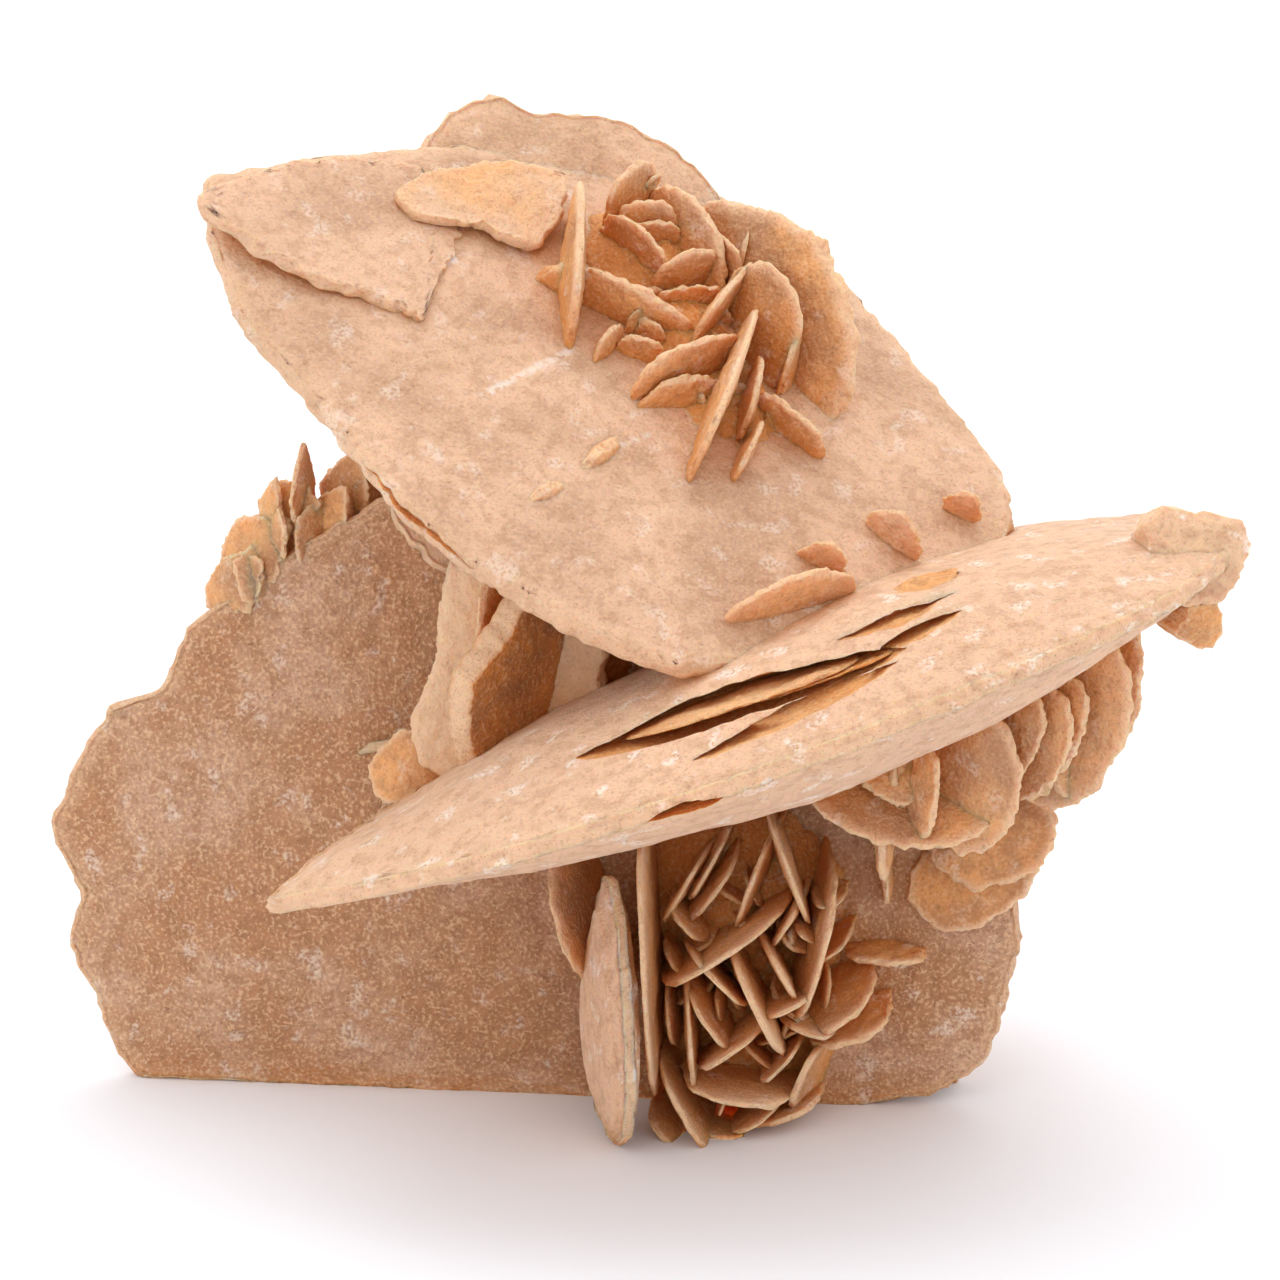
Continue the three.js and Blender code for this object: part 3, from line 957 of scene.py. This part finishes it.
# The large blades, from the plate at the back to those that only the rear shows.
LARGE_BLADES: list[Blade] = [
    Blade(
        "back_plate", (-4, 8, 24), (-6, 3), 5, Section.TABLET, [
            (-39, -24), (-41.5, -18), (-44, -12), (-42.5, -9), (-45.5, -3), (-43, 2.5), (-40, 8),
            (-36, 9), (-33, 15), (-24, 22), (-17, 26), (-6, 27), (10, 27), (24, 20), (33, 8), (35, -4),
            (35.5, -10), (33, -20), (29, -23), (19, -25), (-2.5, -25), (-20, -24.5),
        ],
        relief=PLATE_RELIEF, fineness=7,
    ),
    CrackedBlade(
        "top_slab", SLAB_HUB, SLAB_FACES, 5, Section.TABLET, [
            (-23.5, 30), (-25.5, 23), (-26, 14), (-23.5, 6.5), (-20.5, -6.5), (-17.5, -12.5),
            (-10.5, -21.5), (-4.5, -26), (9, -28), (22, -24), (31, -16), (32, -10.5), (29.5, 3),
            (27.5, 11.5), (21.5, 21.5), (11, 28.5), (-3, 31), (-14, 31),
        ],
        finish=SLAB_FINISH, relief=SLAB_RELIEF, fineness=7, inward=(0.7, 0.7, 0.2),
        cracks=[((-24, -8, 58), (-13, -15.6, 49.4), 0.8, 3)],
    ),
    Blade(
        "slab_ledge", (-16.8, 13.6, 71.2), (34, 55), 1.3, Section.SQUARE_TABLET, [
            (-18.5, 7.5), (-19, 5.5), (-18.5, 4.5), (-17, 3), (-15.5, 0), (-14, -1.5), (-12.5, -3.5),
            (-10, -5), (-8, -6.5), (-5.5, -9), (-3, -6), (2, -1), (2.5, 7), (-3, 9), (-8.5, 9.5),
        ],
        finish=SLAB_FINISH, relief=Relief((0.2, 9.0), (0.08, 2.0), (0.35, 1.8), (0.5, 0.9), 0.0),
    ),
    CrackedBlade(
        "front_blade", (17.2, -12, 40.4), (-100, 70), 13, Section.THICK_LENS, [
            (12.5, -48), (17, -38), (19.5, -25), (19, -10), (15.5, 2), (11, 12), (7, 20), (1, 26.5),
            (-8, 30), (-18, 28), (-27, 23.5), (-34, 14), (-35, -6), (-28, -24), (-13, -38), (2, -45.5),
        ],
        finish=FRONT_FINISH, relief=Relief((0.6, 12.0), (0.12, 2.2), (0.5, 3.5), (0.4, 1.1), 0.12),
        fineness=7, inward=(0.17, 0.98, 0),
        cracks=[
            ((-5.2, -20.2, 37.1), (20.5, -21.2, 46.3), 3.2, 6.5),
            ((4, -26.2, 38.9), (19.6, -21.8, 45.5), 1.3, 4),
            ((17.5, -20.6, 45.5), (25, -17.2, 48.4), 0.8, 3.5),
            ((15, -17.8, 45.9), (25.5, -14, 49.1), 0.5, 2.5),
            ((19, -12.4, 47.9), (24.2, -6.8, 48.8), 0.7, 2.5),
            ((0.5, -28.4, 34.8), (6.4, -28.8, 36.9), 1.2, 3),
        ],
    ),
    Blade(
        "broken_end", (42.8, -8, 49.5), (10, 20), 5, Section.SQUARE_TABLET, [
            (-2, 4.7), (0.5, 4), (3.5, 3.5), (4.5, 2.5), (5, 1), (4, -1), (2.5, -3), (1, -3.5),
            (-1, -3.5), (-3.5, 0.5), (-4, 3),
        ],
        finish=WORN_FINISH, relief=ROUGH_BREAK, fineness=5,
    ),
    Blade(
        "hanging_end", (42.4, -9, 45), (30, -10), 3, Section.SQUARE_TABLET,
        [(-1.5, -0.2), (-0.5, 2), (2, 2.5), (3, 1), (3.2, -1), (2.5, -2.2), (0.5, -1.7)],
        finish=CRYSTAL_FINISH, relief=ROUGH_BREAK, fineness=5,
    ),
    Blade(
        "crest_blade", (-4, 20, 60), (12, 30), 4.5, Section.TABLET, [
            (-12.5, 18), (-10, 21.5), (-6, 22.5), (-3, 21), (3, 20.5), (9, 17.5), (13, 12), (16, 0),
            (14, -14), (6, -24), (-8, -25), (-18, -14), (-20, 2),
        ],
        finish=SLAB_FINISH, tone=0.6,
    ),
    Blade(
        "flake_on_slab", (-13.1, 16.4, 73.6), (24, 51), 1.1, Section.SQUARE_TABLET, [
            (-7, 1.5), (-7, 0), (-6.3, -1.2), (-4, -2.2), (-0.5, -3), (0.5, -4.3), (3, -5.7), (6, -3.5),
            (8.5, 1.5), (4, 3.5), (-4, 3),
        ],
        finish=EDGE_FINISH, relief=CRYSTAL_RELIEF, fineness=5, tone=0.9,
    ),
    Blade(
        "round_leaf_on_slab", (10.6, 14.3, 64.8), (-40, 10), 2, Section.TABLET, [
            (-9.5, 7), (-6, 8.2), (0, 8), (4, 6.5), (7, 3), (9.3, -1), (9.3, -5), (7, -10), (0, -11),
            (-9, -9),
        ],
        finish=CRYSTAL_FINISH, relief=CRYSTAL_RELIEF, tone=0.3,
    ),
    Blade(
        "shaded_blade", (-7.6, 1, 37.4), (46, -8), 3, Section.SQUARE_TABLET, [
            (-4, 8.5), (-6, 6), (-7, 4.5), (-8.5, 3.5), (-9.5, 2.5), (-10, 0.5), (-9.5, -2.5),
            (-8.5, -5), (-7.5, -9), (4, -14), (14, -6), (13, 8), (4, 13),
        ],
        finish=SHADED_FINISH, relief=CRYSTAL_RELIEF, tone=0.0,
    ),
    Blade(
        "pale_blade", (-14, 3, 38), (-18, 3), 2.4, Section.TABLET, [
            (-1.5, 8.5), (-2, 6), (-2.5, 3), (-2.5, 1), (-3.5, -2), (-4.5, -4.5), (-4.5, -6.5),
            (-4, -8.5), (2, -12), (10, -8), (12, 2), (8, 11),
        ],
        finish=PALE_FINISH, relief=CRYSTAL_RELIEF, tone=1.0,
    ),
    Blade(
        "spear_leaf", (-2.3, -4.5, 11.5), (-74, 0), 3, Section.TABLET, [
            (0.5, 11.3), (2.5, 9), (4.5, 4), (5.5, -2), (6, -6), (4.5, -10), (1, -11.4), (-3.5, -10),
            (-5.5, -6), (-6.2, -1), (-5, 4), (-3, 8), (-1, 11),
        ],
        finish=FRONT_FINISH, tone=0.1,
    ),
    Blade(
        "rear_blade", (2, 19, 26), (190, 62), 9, Section.THICK_LENS, [
            (-27, 4), (-22, 13), (-12, 16), (-3, 19), (8, 16), (18, 13), (27, 7), (30, -2), (20, -11),
            (6, -16), (-10, -16), (-22, -8),
        ],
        finish=FRONT_FINISH,
    ),
    Blade(
        "rear_fin_left", (-21, 20, 22), (80, 4), 4.5, Section.TABLET, [
            (-9, -24), (10, -24), (14, -15), (12, -8), (14, 2), (8, 15), (3, 23), (-3, 30), (-9, 27),
            (-12, 0),
        ],
    ),
    Blade(
        "rear_fin_right", (19, 19, 18), (-66, -8), 4.5, Section.TABLET,
        [(-12, -19), (12, -19), (16, -8), (13, 6), (7, 17), (-4, 22), (-14, 18), (-16, 0)],
    ),
    Blade(
        "rear_shoulder", (-13, 22, 55), (130, 18), 4, Section.TABLET,
        [(-12, -8), (-15, -2), (-9, 9), (2, 13), (11, 8), (15, -3), (11, -8), (0, -11)],
    ),
    Blade(
        "rear_foot", (-3, 27, 11), (165, -35), 4, Section.TABLET,
        [(-3, -13), (-4, -4), (-2, 8), (4, 13), (13, 9), (16, -2), (12, -13)],
    ),
]


# The rosettes and rows of small crystals: those in view first, then those of the rear.
ROSETTES: list[Rosette] = [
    Rosette(
        "top_rosette", (-2.6, 2.9, 59.9), SLAB_FACES, [
            (1, 13, 66, 8, 15, 7.5, 2.6), (4, 8.5, -42, -8, 14, 4.5, 2.4),
            (7.5, 13.5, -66, -12, 8, 5, 1.8), (11, 10.5, 4, 0, 6, 5, 1.7),
            (10.5, 8, -6, -4, 6.5, 3.5, 1.7), (10, 16.5, -20, 6, 6, 5, 1.6),
            (10, 15, -15, 0, 5.5, 4, 1.6), (13.5, 14.5, -80, 10, 12, 5.5, 2.2),
            (9.5, 20, 25, 12, 6.5, 5.5, 2), (16, 11, 58, 4, 4.5, 5, 1.5),
            (14.5, 11, -74, -6, 4.5, 5, 1.6), (12.5, 6, 38, -6, 9, 6, 1.9), (9, -2.5, 52, -4, 18, 7, 2),
            (7, 1, 11, 4, 11, 5, 2), (6, -1, -1, 6, 7.5, 3, 1.8), (2, 5.5, 34, 10, 4.5, 2.5, 1.4),
            (4.5, 4, -34, 0, 4.5, 2.5, 1.6), (11, -3, 58, 0, 7.5, 5, 1.8), (9, -8, 49, -6, 6, 3.5, 1.6),
            (13, -6, -60, -14, 7.5, 3.5, 1.8), (16, 0.5, 50, 6, 5, 5, 1.7),
            (15.5, 4, -78, 12, 9.5, 8, 1.7), (12, 20, 29, -10, 3.5, 4, 1.4),
            (13, 14, -60, -20, 4.5, 3.5, 1.4), (6, 5.5, -54, 0, 3, 2.5, 1.4), (12, 6, -32, 6, 3, 3, 1.4),
            (10, -2, -27, 0, 3, 2.5, 1.4),
        ],
        fullness=(2.1, 3),
        mounds=[(10, 14, 6, 2.2), (10, 6, 5.5, 2), (10, -2, 4.5, 1.6)],
        fill=(3, 3),
    ),
    Rosette(
        "slab_edge_crystals", (-2.6, 2.9, 59.9), SLAB_FACES, [
            (17.5, -18, -56, -10, 5.5, 3.5, 1.6), (10.5, -19.5, -37, -10, 4, 3, 1.5),
            (6.5, -22.5, 6, 0, 12.5, 3.5, 2), (25, -16, -41, -10, 3.5, 2.5, 1.4),
            (-3, -5.5, 29, 0, 5.5, 1.2, 2.6), (-9, -8.5, 18, 0, 4, 1, 2.2),
        ],
        fullness=(1.4, 1.8), finish=EDGE_FINISH,
    ),
    Rosette(
        "front_rosette", (-4.2, 6, 24.1), (-6, 3), [
            (-1.5, -7, -74, -18, 14, 9, 1.8), (6, -9, -87, 2, 25, 14, 1.9),
            (8.5, -3.5, 60, 4, 8, 9, 1.5), (10.5, -2, 62, 0, 7.5, 9, 1.5), (11, -4, 54, -6, 8, 9, 1.5),
            (14, -3, 71, 4, 10, 9.5, 1.6), (17.5, -1.5, -70, 8, 10.5, 11, 1.8),
            (12, -8, 35, 0, 14, 13, 1.8), (9, -6.5, -44, 0, 5, 10, 1.3),
            (12, -10, -44, 10, 7.5, 13, 1.6), (15, -12, -64, 6, 12, 13.5, 1.9),
            (17, -9.5, -61, 10, 7.5, 12, 1.7), (17, -12.5, 24, 0, 5.5, 12, 1.5),
            (17, -6, 59, 0, 5.5, 10, 1.5), (20, -8.5, 76, -12, 14.5, 11, 1.9),
            (20, -4.5, -5, 0, 3, 9, 1.3), (18.5, -7, -35, 0, 3.5, 9, 1.3),
            (9.5, -15.5, -86, 4, 11, 11, 1.7), (11, -14, -55, 0, 7.5, 12, 1.5),
            (11.5, -13.5, -83, 0, 3.5, 9, 1.3), (13, -16, 38, 0, 9, 12, 1.6),
            (18.5, -15, -20, 0, 5.5, 9, 1.5), (21.5, -14.5, 33, -16, 7.5, 8, 1.8),
            (22, -16.5, 17, -14, 7.5, 6.5, 1.8), (24.5, -10.5, -2, -6, 6.5, 3.5, 1.8),
            (13, -20.5, -9, -4, 10, 11, 1.7), (16.5, -18, 46, 0, 5, 10, 1.4),
            (9, -22, -60, 0, 10, 11, 1.7), (7.5, -24.5, -38, -8, 5.5, 9, 1.6),
            (12, -21.5, 69, 0, 3.5, 9, 1.2), (14.5, -23, 33, 0, 5.5, 9, 1.5),
            (18, -19.5, 68, 10, 6.5, 8, 2), (16.5, -23, 18, 0, 6.5, 7.5, 2),
            (24.5, -3.5, -86, 0, 5.5, 3, 1.5), (20.5, -8.5, 36, 0, 4, 9, 1.2),
            (14, -4, -66, 0, 4, 7, 1.2),
        ],
        fullness=(2.4, 3.4),
        mounds=[(12.5, -6, 8.5, 5), (13, -16.5, 8, 4.5)],
    ),
    Rosette(
        "front_rosette_inner", (-4.2, 6, 24.1), (-6, 3),
        [(12, -24.5, -7, 0, 5.5, 8, 1.6), (7.5, -14.5, -83, 0, 6, 9, 1.4), (8, -10, -48, 0, 4, 9, 1.2)],
        fullness=(2.4, 3.4),
        mounds=[(13.5, -11, 7, 4)],
        fill=(18, 8.5),
    ),
    Rosette(
        "rear_rosette", (0, 10.4, 38), (178, 4), [
            (-4, 2, 35, 5, 13, 9, 2), (3, 0, -50, 0, 14, 10, 2), (8, 4, 70, 10, 11, 8, 1.8),
            (-9, -2, -75, -15, 11, 7, 1.8), (0, -5, 10, -20, 13, 8, 2), (-5, 8, -15, 20, 10, 6, 1.8),
            (10.5, -1, -70, 0, 9, 6, 1.8), (-13, 4, 60, -25, 9, 6, 1.8),
        ],
    ),
    Rosette(
        "rear_blade_rosette", (3.3, 22.5, 29), (190, 62), [
            (-6, 3, 40, 10, 11, 7, 1.9), (2, 5, -35, 0, 12, 8, 1.9), (9, 2, 75, 15, 10, 7, 1.8),
            (-12, 0, -70, -20, 9, 6, 1.7), (5, 9, 20, 25, 8, 4, 1.6),
        ],
    ),
    Rosette(
        "rear_left_rosette", (-23.2, 22, 18), (260, -4), [
            (-3, 3, 55, 0, 11, 6, 1.8), (3, 1, -40, 5, 12, 7, 1.9), (0, -5, 15, -15, 10, 5, 1.7),
            (6, 7, 70, 20, 8, 4, 1.6),
        ],
    ),
    Rosette(
        "rear_right_rosette", (21.4, 20, 17), (114, 8), [
            (-3, 2, 50, 0, 11, 7, 1.8), (3, 3, -35, 5, 12, 8, 1.9), (1, -5, 10, -18, 11, 6, 1.8),
            (7, -2, 80, 20, 8, 5, 1.6), (-8, -3, -70, -20, 8, 5, 1.6),
        ],
    ),
    Rosette(
        "crest_rear_crystals", (-1, 22.4, 66), (192, -30),
        [(3, -6, -55, 0, 12, 7, 1.8), (8, -1, 70, 20, 8, 4, 1.6), (0, 1, 5, 15, 8, 4, 1.6)],
    ),
]


# The leaf crystals that stand free of a face, a group for each place.
LEAF_GROUPS: list[Leaves] = [
    Leaves(
        "left_rosette", [
            (-31.6, 12.4, 45, -30, 15, 45, 9, 6.5, 1.4), (-27.6, 13, 49.5, 70, 0, 85, 9, 5, 1.2),
            (-21.3, 16.5, 49.5, 62, -5, 75, 15, 8, 2), (-28.5, 13, 48.5, -20, 10, 20, 5, 5, 1.6),
            (-29.7, 11.8, 46.5, -65, 0, 75, 5.5, 4, 1.1), (-25.5, 12.6, 47.5, -50, 10, 60, 7, 5, 1.3),
            (-33.2, 11.8, 42.4, -35, 10, 40, 7, 5, 1.2), (-31.2, 11.4, 43.6, 20, 20, 65, 6, 4.5, 1.1),
            (-30.2, 13, 48, -60, 0, 70, 7, 4, 1.2), (-26.6, 12, 46.4, 45, 5, 55, 6, 4.5, 1.2),
            (-24.2, 14, 49.4, -35, 5, 75, 8, 5, 1.3), (-28.4, 12.4, 44.6, -10, 30, 30, 6, 5, 1.2),
        ],
        fullness=(1.2, 1.6),
    ),
    Leaves(
        "right_rosette", [
            (21, -7.5, 31.2, -8, 55, -13, 16, 12, 1.5), (22.2, -12, 32, -65, 0, 75, 8.5, 4.5, 1.4),
            (25.8, -10, 32.6, -32, -4, 80, 13, 9.5, 1.6), (20, -10, 33.2, -20, 30, -25, 7, 5, 1.4),
            (29.3, -9.5, 36.2, -40, 5, 65, 8, 5.5, 1.4), (31, -8.8, 35, -42, 0, 60, 11, 6.5, 1.4),
            (32.4, -8, 36.5, -42, 0, 65, 10, 6.5, 1.4), (33.4, -5.5, 36.5, -40, -5, 60, 18, 12, 1.6),
            (36.8, -1.5, 38.5, -50, 0, 80, 16, 9, 1.8), (35, -4.6, 32, 40, 0, 60, 6, 6, 1.6),
            (19.8, -1.5, 26, 85, 0, 90, 7, 16, 1.6), (27, 1.8, 20.5, -12, 12, 35, 11, 8, 2),
            (28.5, 0, 24.5, -20, 10, 22, 11, 8, 1.8),
        ],
    ),
    Leaves("right_core", [(27, -1, 34, 55, 0, 70, 20, 26, 4)], relief=BLADE_RELIEF),
    Leaves(
        "shade_crystals",
        [(-10.3, 4.5, 43.5, 66, -5, 75, 15, 12, 1.4), (-18.5, 4.8, 29, -15, 5, 35, 8, 5.5, 2)],
    ),
    Leaves(
        "crack_layers",
        [(7.9, -18.4, 41.7, -100, 70, 98, 19, 6, 0.6), (14, -17.8, 43.4, -104, 68, 98, 12, 6, 0.5)],
        finish=CRACK_FINISH,
    ),
]


@dataclass(frozen=True)
class Studio:
    """The plain floor, the soft light and the camera.

    Attributes:
        target: The point that the camera looks at, in the frame of the CAD source.
        look_down: How far it looks down, in degrees.
        distance: How far it stands from that point, in millimetres.
        lens: Its focal length in millimetres.
        floor_side: The floor's sides, in metres.
        floor_colour: The floor's linear colour.
        sky_strength: How strong the even light all round is.
        lit_height: The height that the lamps look at, in metres.
    """

    target: Point = (0.0, 0.0, 41.0)
    look_down: float = 16.0
    distance: float = 450.0
    lens: float = 158.2
    floor_side: float = 6.0
    floor_colour: tuple[float, ...] = (0.88, 0.89, 0.93, 1.0)
    sky_strength: float = 1.12
    lit_height: float = 0.04

    def build(self) -> None:
        """Builds the floor, the lights and the camera."""
        self._floor()
        self._sky()
        self._area("overhead", (0.0, 0.22, 0.7), 0.7, 2.2)
        self._area("front_fill", (-0.5, -0.7, 0.5), 0.6, 0.8)
        self._camera()
        bpy.context.scene.view_settings.view_transform = "Standard"

    def _floor(self) -> None:
        """Lays a plain pale floor."""
        mesh = bmesh.new()
        bmesh.ops.create_grid(mesh, x_segments=1, y_segments=1, size=self.floor_side / 2)
        material = bpy.data.materials.new("floor")
        bench = Bench(material)
        shader = bench.add("ShaderNodeBsdfDiffuse", {"Color": self.floor_colour})
        bench.add("ShaderNodeOutputMaterial", {"Surface": shader.outputs[0]})
        floor = as_object("floor", mesh, material)

    def _sky(self) -> None:
        """Surrounds everything with even white light."""
        world = bpy.data.worlds.new("studio")
        world.use_nodes = True
        background = world.node_tree.nodes["Background"]
        background.inputs["Color"].default_value = (1.0, 1.0, 1.0, 1.0)
        background.inputs["Strength"].default_value = self.sky_strength
        bpy.context.scene.world = world

    def _area(self, name: str, place: Point, side: float, power: float) -> None:
        """Hangs a soft light that looks at the middle of the rose.

        Args:
            name: The light's name.
            place: Where it hangs, in metres.
            side: The length of its sides, in metres.
            power: Its power in watts.
        """
        light = bpy.data.lights.new(name, "AREA")
        light.energy = power
        light.size = side
        lamp = bpy.data.objects.new(name, light)
        lamp.location = place
        away = Vector(place) - Vector((0.0, 0.0, self.lit_height))
        lamp.rotation_euler = away.to_track_quat("Z", "Y").to_euler()
        bpy.context.scene.collection.objects.link(lamp)

    def _camera(self) -> None:
        """Places the camera at the photograph's viewing angle."""
        down = math.radians(self.look_down)
        aim = (Vector(self.target) - FOOTPRINT_MIDDLE) * MM
        back = Vector((0.0, -math.cos(down), math.sin(down)))
        data = bpy.data.cameras.new("camera")
        data.lens = self.lens
        data.sensor_width = 36.0
        camera = bpy.data.objects.new("camera", data)
        camera.location = aim + back * self.distance * MM
        camera.rotation_euler = back.to_track_quat("Z", "Y").to_euler()
        bpy.context.scene.collection.objects.link(camera)
        bpy.context.scene.camera = camera


def main() -> None:
    """Builds the rose and the studio."""
    logging.basicConfig(level=logging.INFO, format="%(name)s: %(message)s")
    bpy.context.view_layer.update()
    for growth in [*LARGE_BLADES, *ROSETTES, *LEAF_GROUPS]:
        growth.build()
    Studio().build()


if __name__ == "__main__":
    main()
